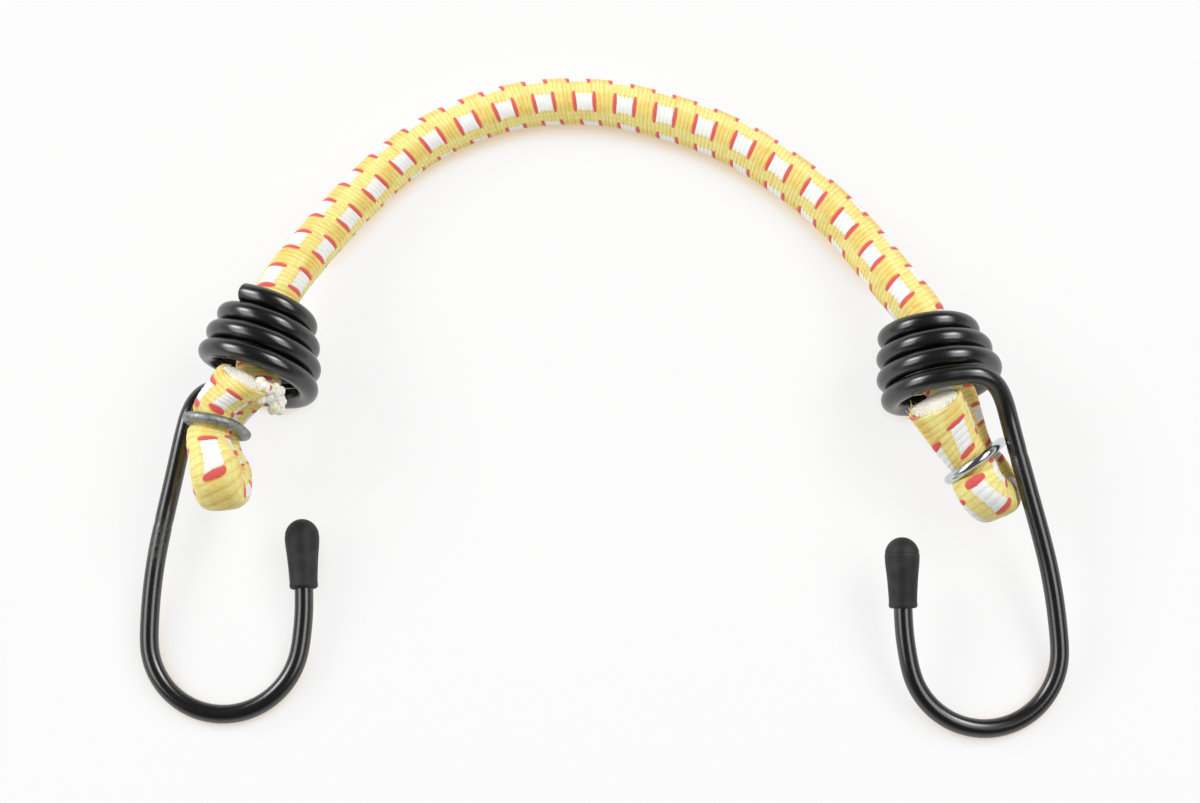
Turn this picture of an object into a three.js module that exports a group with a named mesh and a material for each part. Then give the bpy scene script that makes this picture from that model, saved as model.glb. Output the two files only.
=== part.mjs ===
// A short bungee cord: an elastic cord of rubber strands in a braided sheath, with a bent
// wire hook at each end. Each hook's coil grips the cord at its narrow end. The cord comes
// out of the coil's wide mouth, folds back on itself and is held by a crimp ring.
// Millimetres, +Z up. The cord lies on a table at z = 0 as an arch, hooks towards -Y.
import * as THREE from 'three';

const rad = THREE.MathUtils.degToRad;
const vec = (x, y, z) => new THREE.Vector3(x, y, z);

// Cord
const cordDiameter = 8;
const sheathWall = 0.7;
const strandsRound = 6; // rubber strands round the middle one
const clearance = 0.3; // between pieces that touch
const cordSides = 10;
const strandSides = 5;
const coilLead = 1; // straight cord behind the coil

// Folded ends, where the crimp ring squeezes the two legs
const pinchedThickness = 5;
const pinchedWidth = 5.7;
const pinchLength = 2.2; // from the ring to where the cord swells again
const swellWidth = 7.2;
const swellThickness = 5.7;
const loopThickness = 6.4;
const loopWidth = 8.8;
const flaredThickness = 6.4;
const cutLift = 24; // degrees the cut end looks up
const legGap = 0.5; // between the two legs at the ring
const strandOverhang = 1; // rubber that stands out of the cut sheath

// Crimp ring
const ringWire = 1.9;
const ringOpening = 50; // degrees left open under the fold
const ringClearance = 0.42;
const ringSides = 8;
const ringSteps = 36; // along the ring

// Hook wire
const wireDiameter = 3.1;
const wireSides = 10;
const wireSteps = 124; // along the wire
const coilTurns = 3.69;
const coilGap = 0.44; // between one turn and the next
const cornerSpan = 54; // degrees of the last turn that bend into the shank
const coilMouthRadius = 8.8; // to the wire's middle
const coilTaper = [1, 1, 0.74, 0.32, 0]; // share of the widening left after 0 to 4 turns
const shankLength = 16.7;
const sweepRadius = 85;
const sweepAngle = 12.4;
const bendRadius = 12.5;
const bendAngle = 170;
const armRadius = 47;
const armAngle = 12;
const armLength = 9.3;

// Tip cap
const capLength = 11.6;
const capDiameter = 5.7;
const capMouthDiameter = 4.5;
const capLip = 0.5;
const capNeck = 0.1; // how far the cap draws in behind its lip
const capWall = 2.3; // beyond the wire's end
const capClearance = 0.12;

// How each end lies. Angles are in degrees. The axis runs out of the coil's mouth.
const ends = {
  left: {
    mouth: [-57.2, 0.3], // where the coil's axis meets the mouth
    yaw: -15, // axis off -Y, towards +X
    tilt: 0, // axis above the table
    lean: 0.1, // side step of the turns for each step along the axis
    exit: 196, // where the shank leaves, round the axis from +X
    shank: [-69.3, -7.3, 6.7],
    heading: -11.2,
    side: 1, // the bend opens towards +X
    ring: [8.7, -4.1, 2.2], // along the axis from the mouth, right of it and above it
    ringTurn: -2, // the ring's way off the axis, towards +X
    loop: [16.6, -2.3, 2.2],
    loopTurn: 16,
    stack: 97, // way from the outgoing leg to the returning one, degrees from +X
    cut: [2.2, 0.2],
    cutTurn: -21,
    flaredWidth: 11.4, // of the cut sheath
  },
  right: {
    mouth: [57.2, -2],
    yaw: 11,
    tilt: 2.5,
    lean: 0.04,
    exit: 28,
    shank: [68, -10.3, 12.9],
    heading: 15.7,
    side: -1,
    ring: [11.3, 2, -2],
    ringTurn: 24,
    loop: [15.3, 2.7, -2.7],
    loopTurn: 4,
    stack: 122,
    cut: [4.1, -3.8],
    cutTurn: 12,
    flaredWidth: 9.8,
  },
};

// The free stretch on the table, from the left coil to the right one
const route = [
  [-52.6, 19.4, 9], [-50.4, 23.2, 7.6], [-47.2, 28.2, 6], [-43.2, 33.6, 4.9],
  [-35.1, 42.3, 4.1], [-26.8, 48.1, 4.05], [-13.7, 52.8, 4.05], [0, 53.3, 4.05],
  [9.4, 51.3, 4.05], [18.4, 48.2, 4.05], [25.1, 44.8, 4.05], [31.3, 40.5, 4.05],
  [37.2, 35.7, 4.1], [42.6, 29.8, 4.8], [46.6, 24, 6], [49.6, 19, 7.8],
];

// Worked-out sizes
const cordRadius = cordDiameter / 2;
const coreRadius = cordRadius - sheathWall;
const strandRadius = (coreRadius - 2 * clearance) / 3;
const strandOrbit = 2 * strandRadius + clearance;
const wireRadius = wireDiameter / 2;
const coilPitch = wireDiameter + coilGap;
const coilNarrowRadius = cordRadius + clearance + wireRadius;
const coilLength = coilPitch * coilTurns;
const legSpacing = pinchedThickness + legGap;
const jointAt = -coilLength / 2; // where the free stretch meets a folded end, inside the coil

const colours = {
  sheath: { color: 0xe8c832, roughness: 0.85, metalness: 0 },
  rubber: { color: 0xf0e6cf, roughness: 0.7, metalness: 0 },
  wire: { color: 0x0c0c0d, roughness: 0.3, metalness: 0.1 },
  cap: { color: 0x1b1b1d, roughness: 0.75, metalness: 0 },
  leftRing: { color: 0x8f9396, roughness: 0.5, metalness: 0.9 },
  rightRing: { color: 0xc4c6c8, roughness: 0.2, metalness: 1 },
};

function piece(name, geometry, look) {
  const mesh = new THREE.Mesh(geometry, new THREE.MeshStandardMaterial(look));
  mesh.name = name;
  return mesh;
}

// Corners of a regular polygon, as a list of 2D points
function polygon(radius, sides, x = 0, y = 0) {
  return Array.from({ length: sides }, (_, i) => {
    const a = (2 * Math.PI * i) / sides;
    return new THREE.Vector2(x + radius * Math.cos(a), y + radius * Math.sin(a));
  });
}

function strandPlaces() {
  const places = [[0, 0]];
  for (let i = 0; i < strandsRound; i += 1) {
    const a = (2 * Math.PI * (i + 0.5)) / strandsRound;
    places.push([strandOrbit * Math.cos(a), strandOrbit * Math.sin(a)]);
  }
  return places;
}

function smoothPath(points) {
  return new THREE.CatmullRomCurve3(points, false, 'centripetal');
}

function sweep(outline, path, steps, hole = null) {
  const shape = new THREE.Shape(outline);
  if (hole) shape.holes.push(new THREE.Path(hole));
  return new THREE.ExtrudeGeometry(shape, { steps, extrudePath: path, bevelEnabled: false });
}

// A solid through sections along a path. A section has its middle, its two axes, which carry
// the squeeze, and the outline is given for the round cord. A hole makes it a sleeve.
function loft(sections, outline, hole = null) {
  const loops = hole ? [outline, hole] : [outline];
  const position = [];
  const index = [];
  const n = outline.length;
  const at = (loop, section, i) => (loop * sections.length + section) * n + (i % n);
  for (const loop of loops) {
    for (const { middle, across, along } of sections) {
      for (const p of loop) {
        const q = middle.clone().addScaledVector(across, p.x).addScaledVector(along, p.y);
        position.push(q.x, q.y, q.z);
      }
    }
  }
  const quad = (a, b, c, d) => index.push(a, b, c, a, c, d);
  const last = sections.length - 1;
  loops.forEach((_, loop) => {
    for (let s = 0; s < last; s += 1) {
      for (let i = 0; i < n; i += 1) {
        const next = s + 1;
        const corners = [at(loop, s, i), at(loop, s, i + 1), at(loop, next, i + 1), at(loop, next, i)];
        quad(...(loop === 0 ? corners : corners.reverse()));
      }
    }
  });
  for (let i = 0; i < n; i += 1) {
    if (hole) {
      quad(at(0, 0, i + 1), at(0, 0, i), at(1, 0, i), at(1, 0, i + 1));
      quad(at(0, last, i), at(0, last, i + 1), at(1, last, i + 1), at(1, last, i));
    } else if (i > 1) {
      index.push(at(0, 0, 0), at(0, 0, i), at(0, 0, i - 1));
      index.push(at(0, last, 0), at(0, last, i - 1), at(0, last, i));
    }
  }
  const geometry = new THREE.BufferGeometry();
  geometry.setAttribute('position', new THREE.Float32BufferAttribute(position, 3));
  geometry.setIndex(index);
  geometry.computeVertexNormals();
  return geometry;
}

// The frame of one end: its mouth's middle, its axis out of the mouth, right and up
function endFrame(end) {
  const yaw = rad(end.yaw);
  const tilt = rad(end.tilt);
  const straight = vec(Math.sin(yaw) * Math.cos(tilt), -Math.cos(yaw) * Math.cos(tilt), Math.sin(tilt));
  const right = vec(Math.cos(yaw), Math.sin(yaw), 0);
  const up = straight.clone().cross(right).normalize();
  const axis = straight.clone().addScaledVector(right, end.lean).normalize();
  const level = coilMouthRadius + wireRadius + coilPitch * Math.sin(tilt);
  const mouth = vec(...end.mouth, level);
  return { mouth, axis, straight, right, up };
}

// A point of an end: along its axis from the mouth, to the right of it and above it
function place(frame, s, side, up) {
  return frame.mouth.clone().addScaledVector(frame.axis, s)
    .addScaledVector(frame.right, side).addScaledVector(frame.up, up);
}

function coilRadius(turn) {
  const i = Math.min(Math.floor(turn), coilTaper.length - 2);
  const share = THREE.MathUtils.lerp(coilTaper[i], coilTaper[i + 1], turn - i);
  return coilNarrowRadius + (coilMouthRadius - coilNarrowRadius) * share;
}

// The coil from its free end to the mouth, a left-handed helix
function coilPoints(end, frame) {
  const start = rad(end.exit + cornerSpan);
  const count = Math.round(coilTurns * 16);
  const points = [];
  for (let i = count; i >= 0; i -= 1) {
    const turn = (coilTurns * i) / count;
    const a = start + 2 * Math.PI * turn;
    const r = coilRadius(turn);
    points.push(place(frame, -coilPitch * turn, r * Math.cos(a), r * Math.sin(a)));
  }
  return points;
}

// The shank, sweep, bend and arm as arcs in one plane: [along the shank, towards the opening]
function hookOutline() {
  const arcs = [
    [sweepRadius, rad(sweepAngle), 4],
    [bendRadius, rad(bendAngle), 16],
    [armRadius, rad(armAngle), 3],
  ];
  const points = [new THREE.Vector2(0, 0), new THREE.Vector2(shankLength / 2, 0)];
  const p = new THREE.Vector2(shankLength, 0);
  let turn = 0;
  points.push(p.clone());
  for (const [r, angle, steps] of arcs) {
    const middle = new THREE.Vector2(p.x - r * Math.sin(turn), p.y + r * Math.cos(turn));
    for (let i = 1; i <= steps; i += 1) {
      const a = turn + (angle * i) / steps;
      points.push(new THREE.Vector2(middle.x + r * Math.sin(a), middle.y - r * Math.cos(a)));
    }
    turn += angle;
    p.copy(points[points.length - 1]);
  }
  const ahead = new THREE.Vector2(Math.cos(turn), Math.sin(turn));
  points.push(p.clone().addScaledVector(ahead, armLength / 2));
  points.push(p.clone().addScaledVector(ahead, armLength));
  return points;
}

// The outline laid from the shank's start down to the table
function hookPoints(end) {
  const outline = hookOutline();
  const start = vec(...end.shank);
  const reach = Math.max(...outline.map((p) => p.x));
  const slope = Math.asin((start.z - wireRadius) / reach);
  const h = rad(end.heading);
  const down = vec(Math.sin(h) * Math.cos(slope), -Math.cos(h) * Math.cos(slope), -Math.sin(slope));
  const across = vec(Math.cos(h), Math.sin(h), 0).multiplyScalar(end.side);
  return outline.map((p) => start.clone().addScaledVector(down, p.x).addScaledVector(across, p.y));
}

// The corner between the coil's last turn and the shank, without its two ends
function cornerPoints(coil, hook) {
  const from = coil[coil.length - 1];
  const to = hook[0];
  const leave = from.clone().sub(coil[coil.length - 2]).normalize();
  const arrive = hook[1].clone().sub(to).normalize();
  const pull = from.distanceTo(to) * 0.5;
  const curve = new THREE.CubicBezierCurve3(
    from,
    from.clone().addScaledVector(leave, pull),
    to.clone().addScaledVector(arrive, -pull),
    to,
  );
  return curve.getPoints(6).slice(1, -1);
}

function hookPath(end) {
  const coil = coilPoints(end, endFrame(end));
  const hook = hookPoints(end);
  return smoothPath([...coil, ...cornerPoints(coil, hook), ...hook]);
}

// Least distance between the surfaces of one turn and the next
function coilLeastGap(end) {
  const points = coilPoints(end, endFrame(end));
  let least = Infinity;
  points.forEach((p, i) => {
    for (let j = i + 10; j < points.length; j += 1) least = Math.min(least, p.distanceTo(points[j]));
  });
  return least - wireDiameter;
}

function tipCap(end) {
  const bore = wireRadius + capClearance;
  const depth = capLength - capWall;
  const mouth = capMouthDiameter / 2;
  const widest = capDiameter / 2;
  const profile = [
    [0, depth], [bore, depth], [bore, 0], [mouth - 0.25 * capLip, 0], [mouth, 0.4 * capLip],
    [mouth, capLip], [mouth - capNeck, 1.6 * capLip], [mouth + 0.12 * (widest - mouth), 0.3 * capLength],
    [mouth + 0.6 * (widest - mouth), 0.55 * capLength], [widest, 0.76 * capLength],
  ];
  const dome = capLength - 0.76 * capLength;
  for (let i = 1; i <= 5; i += 1) {
    const a = (Math.PI / 2) * (i / 5);
    profile.push([i === 5 ? 0 : widest * Math.cos(a), 0.76 * capLength + dome * Math.sin(a)]);
  }
  const cap = new THREE.LatheGeometry(profile.map(([x, y]) => new THREE.Vector2(x, y)), 16);
  const points = hookPoints(end);
  const tip = points[points.length - 1];
  const ahead = tip.clone().sub(points[points.length - 2]).normalize();
  cap.applyQuaternion(new THREE.Quaternion().setFromUnitVectors(vec(0, 1, 0), ahead));
  const foot = tip.clone().addScaledVector(ahead, capClearance - depth);
  cap.translate(foot.x, foot.y, foot.z);
  return cap;
}

// The ways of a fold turned off the end's axis: along it, from leg to leg, and square to both
function foldWays(end, frame, turn) {
  const t = rad(turn);
  const a = rad(end.stack);
  const along = frame.axis.clone().multiplyScalar(Math.cos(t)).addScaledVector(frame.right, Math.sin(t));
  const right = frame.up.clone().cross(along).normalize();
  const stack = right.clone().multiplyScalar(Math.cos(a)).addScaledVector(frame.up, Math.sin(a));
  const across = right.clone().multiplyScalar(Math.sin(a)).addScaledVector(frame.up, -Math.cos(a));
  return { along, stack, across };
}

// The folded end, from inside the coil to its cut end. A station has its place, its size, the
// way across and, where the cord is held straight, its way along.
function foldStations(end) {
  const frame = endFrame(end);
  const ring = foldWays(end, frame, end.ringTurn);
  const loop = foldWays(end, frame, end.loopTurn);
  const mouth = foldWays(end, frame, 0);
  const top = foldWays(end, frame, end.cutTurn);
  const pinch = legSpacing / 2;
  const bend = (loopThickness + legGap) / 2;
  const spread = (swellThickness + legGap) / 2;
  const reach = Math.min(pinchLength, 0.5 * (end.loop[0] - end.ring[0]));
  const leg = (s, offset) => place(frame, ...end.ring).addScaledVector(ring.along, s)
    .addScaledVector(ring.stack, offset);
  const inside = (s) => [place(frame, s, 0, 0), cordDiameter, cordDiameter, mouth.across, mouth.along];
  const held = (s, offset, width, thickness) => [
    leg(s, offset), width, thickness, ring.across,
    ring.along.clone().multiplyScalar(-Math.sign(offset)),
  ];
  const swell = (s, side) => held(s, side * spread, swellWidth, swellThickness);
  const squeezed = (side) => held(0, side * pinch, pinchedWidth, pinchedThickness);
  const stations = [inside(jointAt), inside(jointAt / 2), inside(0)];
  stations.push(swell(-pinchLength, -1), squeezed(-1), swell(reach, -1));
  for (let i = 0; i <= 8; i += 1) {
    const a = -Math.PI / 2 + (Math.PI * i) / 8;
    const p = place(frame, ...end.loop).addScaledVector(loop.stack, bend * Math.sin(a))
      .addScaledVector(loop.along, bend * Math.cos(a));
    stations.push([p, loopWidth, loopThickness, loop.across]);
  }
  const cutUp = (cordDiameter + flaredThickness) / 2 + legGap;
  const cut = place(frame, ...end.cut, cutUp);
  stations.push(swell(reach, 1), squeezed(1), swell(-pinchLength, 1));
  const way = top.along.clone().multiplyScalar(-Math.cos(rad(cutLift)))
    .addScaledVector(frame.up, Math.sin(rad(cutLift)));
  stations.push([cut, end.flaredWidth, flaredThickness, top.across, way]);
  return stations;
}

// Sections of the squeezed cord: each has its middle, its way and its two scaled axes
function foldSections(end) {
  const stations = foldStations(end);
  return stations.map(([middle, width, thickness, across, way], i) => {
    const before = stations[Math.max(i - 1, 0)][0];
    const after = stations[Math.min(i + 1, stations.length - 1)][0];
    const tangent = way ?? after.clone().sub(before).normalize();
    const side = across.clone().addScaledVector(tangent, -across.dot(tangent)).normalize();
    const other = tangent.clone().cross(side).normalize();
    return {
      middle,
      tangent,
      across: side.multiplyScalar(width / cordDiameter),
      along: other.multiplyScalar(thickness / cordDiameter),
    };
  });
}

// The strands stand a little out of the cut sheath
function strandSections(sections) {
  const list = [...sections];
  const end = list[list.length - 1];
  list.push({ ...end, middle: end.middle.clone().addScaledVector(end.tangent, strandOverhang) });
  return list;
}

// The crimp ring: a stadium round both legs, open underneath
function ringPath(end) {
  const frame = endFrame(end);
  const { stack, across } = foldWays(end, frame, end.ringTurn);
  const out = ringClearance + ringWire / 2;
  const half = legSpacing / 2;
  const width = pinchedWidth / 2 + out;
  const height = pinchedThickness / 2 + out;
  const points = [];
  const open = ringOpening / 2;
  for (let a = -90 + open; a <= 270 - open; a += (360 - 2 * open) / 28) {
    const up = Math.sin(rad(a)) >= 0 ? 1 : -1;
    points.push(place(frame, ...end.ring).addScaledVector(across, width * Math.cos(rad(a)))
      .addScaledVector(stack, up * half + height * Math.sin(rad(a))));
  }
  return smoothPath(points);
}

function cordRoute() {
  const meet = jointAt - clearance;
  const stops = [meet, 0.5 * (meet - coilLength), -coilLength - coilLead];
  const inCoil = (end) => stops.map((s) => place(endFrame(end), s, 0, 0));
  return smoothPath([
    ...inCoil(ends.left),
    ...route.map((p) => vec(...p)),
    ...inCoil(ends.right).reverse(),
  ]);
}

const bungee = new THREE.Group();

// Free stretch
const freePath = cordRoute();
const freeSteps = 30;
const sheathOutline = polygon(cordRadius, cordSides);
const sheathBore = polygon(coreRadius, cordSides);
bungee.add(piece('cord_sheath', sweep(sheathOutline, freePath, freeSteps, sheathBore), colours.sheath));
strandPlaces().forEach(([x, y], i) => {
  const outline = polygon(strandRadius, strandSides, x, y);
  bungee.add(piece(`rubber_strand_${i + 1}`, sweep(outline, freePath, freeSteps), colours.rubber));
});

// Both ends
for (const [name, end] of Object.entries(ends)) {
  const sections = foldSections(end);
  bungee.add(piece(`${name}_fold_sheath`, loft(sections, sheathOutline, sheathBore), colours.sheath));
  strandPlaces().forEach(([x, y], i) => {
    const strand = loft(strandSections(sections), polygon(strandRadius, strandSides, x, y));
    bungee.add(piece(`${name}_fold_strand_${i + 1}`, strand, colours.rubber));
  });
  const ring = sweep(polygon(ringWire / 2, ringSides), ringPath(end), ringSteps);
  bungee.add(piece(`${name}_crimp_ring`, ring, colours[`${name}Ring`]));
  const wire = sweep(polygon(wireRadius, wireSides), hookPath(end), wireSteps);
  bungee.add(piece(`${name}_hook`, wire, colours.wire));
  bungee.add(piece(`${name}_tip_cap`, tipCap(end), colours.cap));
  console.log(`${name} coil, least gap between turns: ${coilLeastGap(end).toFixed(2)} mm`);
}

// The origin lies on the table, under the middle of the hooks and folded ends
const rigid = new THREE.Box3();
for (const mesh of bungee.children) {
  if (/^(left|right)_/.test(mesh.name)) rigid.expandByObject(mesh, true);
}
const middle = rigid.getCenter(vec(0, 0, 0));
bungee.position.set(-middle.x, -middle.y, -rigid.min.z);

// Each hook turns on the cord about its coil's axis
for (const [name, end] of Object.entries(ends)) {
  const { mouth, axis } = endFrame(end);
  const point = mouth.clone().add(bungee.position);
  const words = [point, axis].map((v) => v.toArray().map((n) => n.toFixed(4)).join(', '));
  console.log(`${name} hook turns about ${words[0]} mm, way ${words[1]}`);
}

export default bungee;
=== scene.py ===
"""A short bungee cord with two wire hooks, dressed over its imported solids.

The braided cord lies on the table as an arch. A coated wire hook grips each end with its coil,
and the cord's end folds back below the coil and is held by a crimp ring. All in metres.
"""
import itertools
import math

import bpy
import numpy as np
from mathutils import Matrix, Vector


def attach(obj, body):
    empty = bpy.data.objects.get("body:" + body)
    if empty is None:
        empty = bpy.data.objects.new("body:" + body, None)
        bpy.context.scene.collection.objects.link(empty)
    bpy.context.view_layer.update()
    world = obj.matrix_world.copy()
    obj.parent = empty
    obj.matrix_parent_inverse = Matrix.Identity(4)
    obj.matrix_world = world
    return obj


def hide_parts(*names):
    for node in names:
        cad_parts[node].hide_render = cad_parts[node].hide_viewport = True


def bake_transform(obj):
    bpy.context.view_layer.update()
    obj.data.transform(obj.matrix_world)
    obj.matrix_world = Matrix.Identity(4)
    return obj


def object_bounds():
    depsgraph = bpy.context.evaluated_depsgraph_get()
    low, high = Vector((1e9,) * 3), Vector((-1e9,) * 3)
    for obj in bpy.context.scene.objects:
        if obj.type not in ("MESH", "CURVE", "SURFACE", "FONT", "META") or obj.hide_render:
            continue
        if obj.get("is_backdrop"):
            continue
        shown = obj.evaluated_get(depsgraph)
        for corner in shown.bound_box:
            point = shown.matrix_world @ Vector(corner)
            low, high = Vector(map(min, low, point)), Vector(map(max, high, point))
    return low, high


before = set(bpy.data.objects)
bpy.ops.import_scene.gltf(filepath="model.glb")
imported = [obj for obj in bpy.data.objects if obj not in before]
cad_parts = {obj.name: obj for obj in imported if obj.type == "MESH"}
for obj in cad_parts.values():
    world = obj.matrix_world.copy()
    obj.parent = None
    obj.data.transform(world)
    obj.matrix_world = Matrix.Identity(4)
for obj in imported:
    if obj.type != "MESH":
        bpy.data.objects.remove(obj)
CAD_BOX = [list(corner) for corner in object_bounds()]

bl_info = {
    "name": "Bungee cord",
    "version": (1, 0, 0),
    "blender": (4, 5, 0),
    "location": "View3D > Sidebar > Bungee",
    "description": "Braided elastic cord with two wire hooks, folded ends and crimp rings",
    "category": "Object",
}

ORIGIN = np.array((-0.0005412, 0.0209656, -0.0000019))  # from the construction's origin to the frame's
UP = np.array((0.0, 0.0, 1.0))

# The free stretch on the table, from the left coil to the right one
ROUTE = np.array((
    (-0.0526, 0.0194, 0.0090), (-0.0504, 0.0232, 0.0076), (-0.0472, 0.0282, 0.0060),
    (-0.0432, 0.0336, 0.0049), (-0.0351, 0.0423, 0.0041), (-0.0268, 0.0481, 0.00405),
    (-0.0137, 0.0528, 0.00405), (0.0, 0.0533, 0.00405), (0.0094, 0.0513, 0.00405),
    (0.0184, 0.0482, 0.00405), (0.0251, 0.0448, 0.00405), (0.0313, 0.0405, 0.00405),
    (0.0372, 0.0357, 0.0041), (0.0426, 0.0298, 0.0048), (0.0466, 0.0240, 0.0060),
    (0.0496, 0.0190, 0.0078),
))

# The braid along the free stretch, at places in mm: the length of a repeat in mm, and how far the
# upper column of windows lies to the arch's inner side, in degrees from the top
REPEATS = ((0, 8.1), (23, 8.1), (40, 6.95), (85, 7.25), (112, 7.5), (134, 8.55), (160, 8.55))
TURNS = ((0, 62), (20, 50), (40, 32), (85, 21), (115, 15), (160, 25))
MIDDLE_WINDOW = 85.1  # place of a window's middle, in mm

# How each end lies, with angles in degrees. Ring, loop and cut are placed along the coil's axis, which
# runs out of its mouth, to the right of it and above it. The lower leg lies mouth_side aside at the
# mouth, and the coil's free end is straight for a length. Rows of the braid hold the place along the
# fold in mm, the repeat there, the columns' turn and the shear. Groups of the fray hold a place round
# the cut, a spread, a count and a length. The scuff is a stretch of the shank.
ENDS = {
    "left": dict(
        mouth=(-0.0572, 0.0003), yaw=-15, tilt=0, lean=0.1, exit=196,
        shank=(-0.0693, -0.0073, 0.0067), heading=-11.2, side=1,
        ring=(0.0097, -0.0044, 0.0022), ring_turn=-2, ring_lean=5, pinched_width=0.0057,
        loop=(0.0166, -0.0023, 0.0022), loop_turn=16, loop_width=0.0081, boxy=1.8, stack=97,
        mouth_side=0.0, straight=0.0022,
        cut=(0.0022, -0.0007, 0.0), cut_turn=-21, cut_lift=29, flared_width=0.0094,
        body="cord_left_end", hook_body="hook_left", ring_slot="galvanised_ring",
        braid=((0.0, -4.80, -84, 0), (28.5, -0.753, -84, 0), (33.6, -0.31, -84, 0), (34.6, -0.18, -84, 0),
               (36.8, 0.0, -84, 0), (39.5, 0.247, -82, 0), (43.0, 0.62, -74, 0.1), (44.9, 0.753, -68, 0.2),
               (47.0, 1.0, -62, 0.23), (49.2, 1.247, -60, 0.23), (52.6, 1.60, -60, 0.2)),
        fray=((0, 40, 14, 0.0012), (180, 180, 24, 0.0007)), scuff=(0.0156, 0.0221),
    ),
    "right": dict(
        mouth=(0.0572, -0.0020), yaw=11, tilt=2.5, lean=0.04, exit=28,
        shank=(0.0680, -0.0103, 0.0129), heading=15.7, side=-1,
        ring=(0.0117, 0.0022, -0.0020), ring_turn=15, ring_lean=14, pinched_width=0.0066,
        loop=(0.0152, 0.0030, -0.0027), loop_turn=4, loop_width=0.0081, boxy=0.8, stack=122,
        mouth_side=0.0012, straight=0.0,
        cut=(0.0033, -0.0032, -0.0018), cut_turn=25, cut_lift=41, flared_width=0.0096,
        body="cord_right_end", hook_body="hook_right", ring_slot="bright_ring",
        braid=((0.0, -4.57, -58, 0), (26.0, -0.80, -56, 0), (30.2, -0.247, -57, 0), (32.2, 0.0, -68, 0),
               (33.9, 0.247, -86, 0), (37.0, 0.50, -74, 0), (39.4, 0.753, -62, 0), (42.5, 1.0, -60, 0),
               (45.4, 1.20, -61, 0), (46.2, 1.29, -61, 0), (50.9, 1.62, -61, 0)),
        fray=((180, 50, 18, 0.0020), (0, 180, 26, 0.0007)), scuff=(0.0030, 0.0042),
    ),
}

# Two strip lamps and the brighter spot in each: place from the table's middle, length and width,
# and its share of the lamp power
LAMPS = {
    "strip_left": ((-0.62, 0.08, 0.48), 0.90, 0.40, 1.0),
    "spot_left": ((-0.60, 0.30, 0.46), 0.22, 0.26, 0.40),
    "strip_right": ((0.45, 0.08, 0.64), 0.90, 0.40, 1.0),
    "spot_right": ((0.43, 0.30, 0.61), 0.22, 0.26, 0.40),
}

# Crumpled yarn pushed out of the left cut, from the rubber down its side
TUFT = np.array(((-0.0556, 0.0179, 0.0174), (-0.0548, 0.0174, 0.0168), (-0.0541, 0.0168, 0.0160),
                 (-0.0537, 0.0164, 0.0152), (-0.0537, 0.0160, 0.0145)))

# Tracers of the braid, along the cord in repeats and across it in columns. Pairs are where a
# shape is gone and where it is full.
BAR_PLACE = 0.245  # middle of a red bar, from the window's middle
BAR_HALF = 0.05
BAR_REACH = 0.35  # to each side of the column's middle
BAR_ROUNDING = 0.35  # power that rounds the bar's ends
BAR_EDGE = 0.012
BAR_END = (0.351, 0.333)
WINDOW_SIDE = (0.283, 0.248)
WINDOW_END = (0.25, 0.23)
GOLDEN_SIDE = (0.42, 0.15)
GROOVE = (0.0, 0.24)
COLUMN_EDGE = (-0.05, 0.05)
YARN_ROUNDING = 2.5  # powers that round a yarn and end it at its column's edge
COLUMN_ROUNDING = 5
SINK = (0.4, 0.3)  # shares of the yarns' and the columns' height taken off the cord's radius
SPREAD_TURN = 0.75  # radians from where the columns lie furthest apart to the upper one

# The ragged rim of a cut sleeve
RIM_RINGS = 9  # rings that the jags fade over
RIM_KNOTS = 15
COARSE_JAG = 0.00025
FINE_JAG = 0.00006
RIM_EDGE = (0.97, 0.00012)  # share of the radius, and height past the cut
RIM_CROWN = 0.00016  # height at the middle of the wall
RIM_REPEAT = 0.02  # how far on the braid map the turned rim is read

# Shape of the wire, rubber threads, fibres and caps
COIL_TAPER = (1, 1, 0.74, 0.32, 0)  # share of the widening left after 0 to 4 turns
COIL_LEAD = 0.001  # straight cord behind the coil
NICK_DEPTH = 0.06  # share of the wire
NICK_LENGTH = 0.0003
WIRE_ROUNDING = 0.00014
RING_ROUNDING = 0.0004
THREAD_PITCH = 0.74  # share of a thread, as the threads are pressed together
THREAD_TOPS = (0.0002, 0.0004)  # out of the cut at its rim, and more at its middle
THREAD_STRAY = (0.00003, 0.00002)  # aside and in height
THREAD_FLARE = 0.06  # how far the tops lean out, as a share of their place
FIBRE_ROOT = 0.0003  # depth in the sleeve
FIBRE_RING = (0.84, 0.97)  # shares of the cord's radius
FIBRE_REACH = (0.5, 1.1)  # shares of the group's length
FIBRE_TINTS = (0, 0, 0, 0, 0, 1, 2)
CRUMBS = 60  # of the tuft
CRUMB_STRAY = 0.00052
CRUMB_SIZES = (0.0006, 0.0011)
CAP_SHOULDER = 0.74  # share of the cap's height
CAP_FLARE = ((0.12, 0.27), (0.46, 0.46), (0.86, 0.62))  # shares of the widening and of the height
CAP_NECK = 0.00004
CAP_CHAMFER = (0.00008, 0.0001)  # at the bore's mouth, aside and up
SEAM_RISE = 0.0004  # above the shoulder
SEAM_DEPTH = 0.00007
SEAM_WIDTH = 0.00012

# How finely the pieces are drawn
CORD_SIDES = 60
WIRE_SIDES = 28
RING_SIDES = 20
THREAD_SIDES = 8
FIBRE_SIDES = 5
CAP_SIDES = 56
CORD_STEPS = 40  # from one point of the route to the next
CORD_ROWS = 1501
FOLD_STEPS = 60  # from one section of a fold to the next
FOLD_ROW_GAP = 0.000106
LOOP_STATIONS = 9
CUT_ROWS = 8  # rows at the cut that give the way out of it
COIL_STEPS = 16  # points in a turn
CORNER_POINTS = 5  # between coil and shank
WIRE_STEPS = 8  # from one point of a wire to the next
RING_POINTS = 29
FLOOR_HALF = 4.0

# Rows that a running mean takes in
CORD_SOFTENING = 151
REPEAT_SOFTENING = 9
FOLD_SOFTENING = 21
COIL_SOFTENING = 41
SCUFF_SOFTENING = 5


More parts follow.
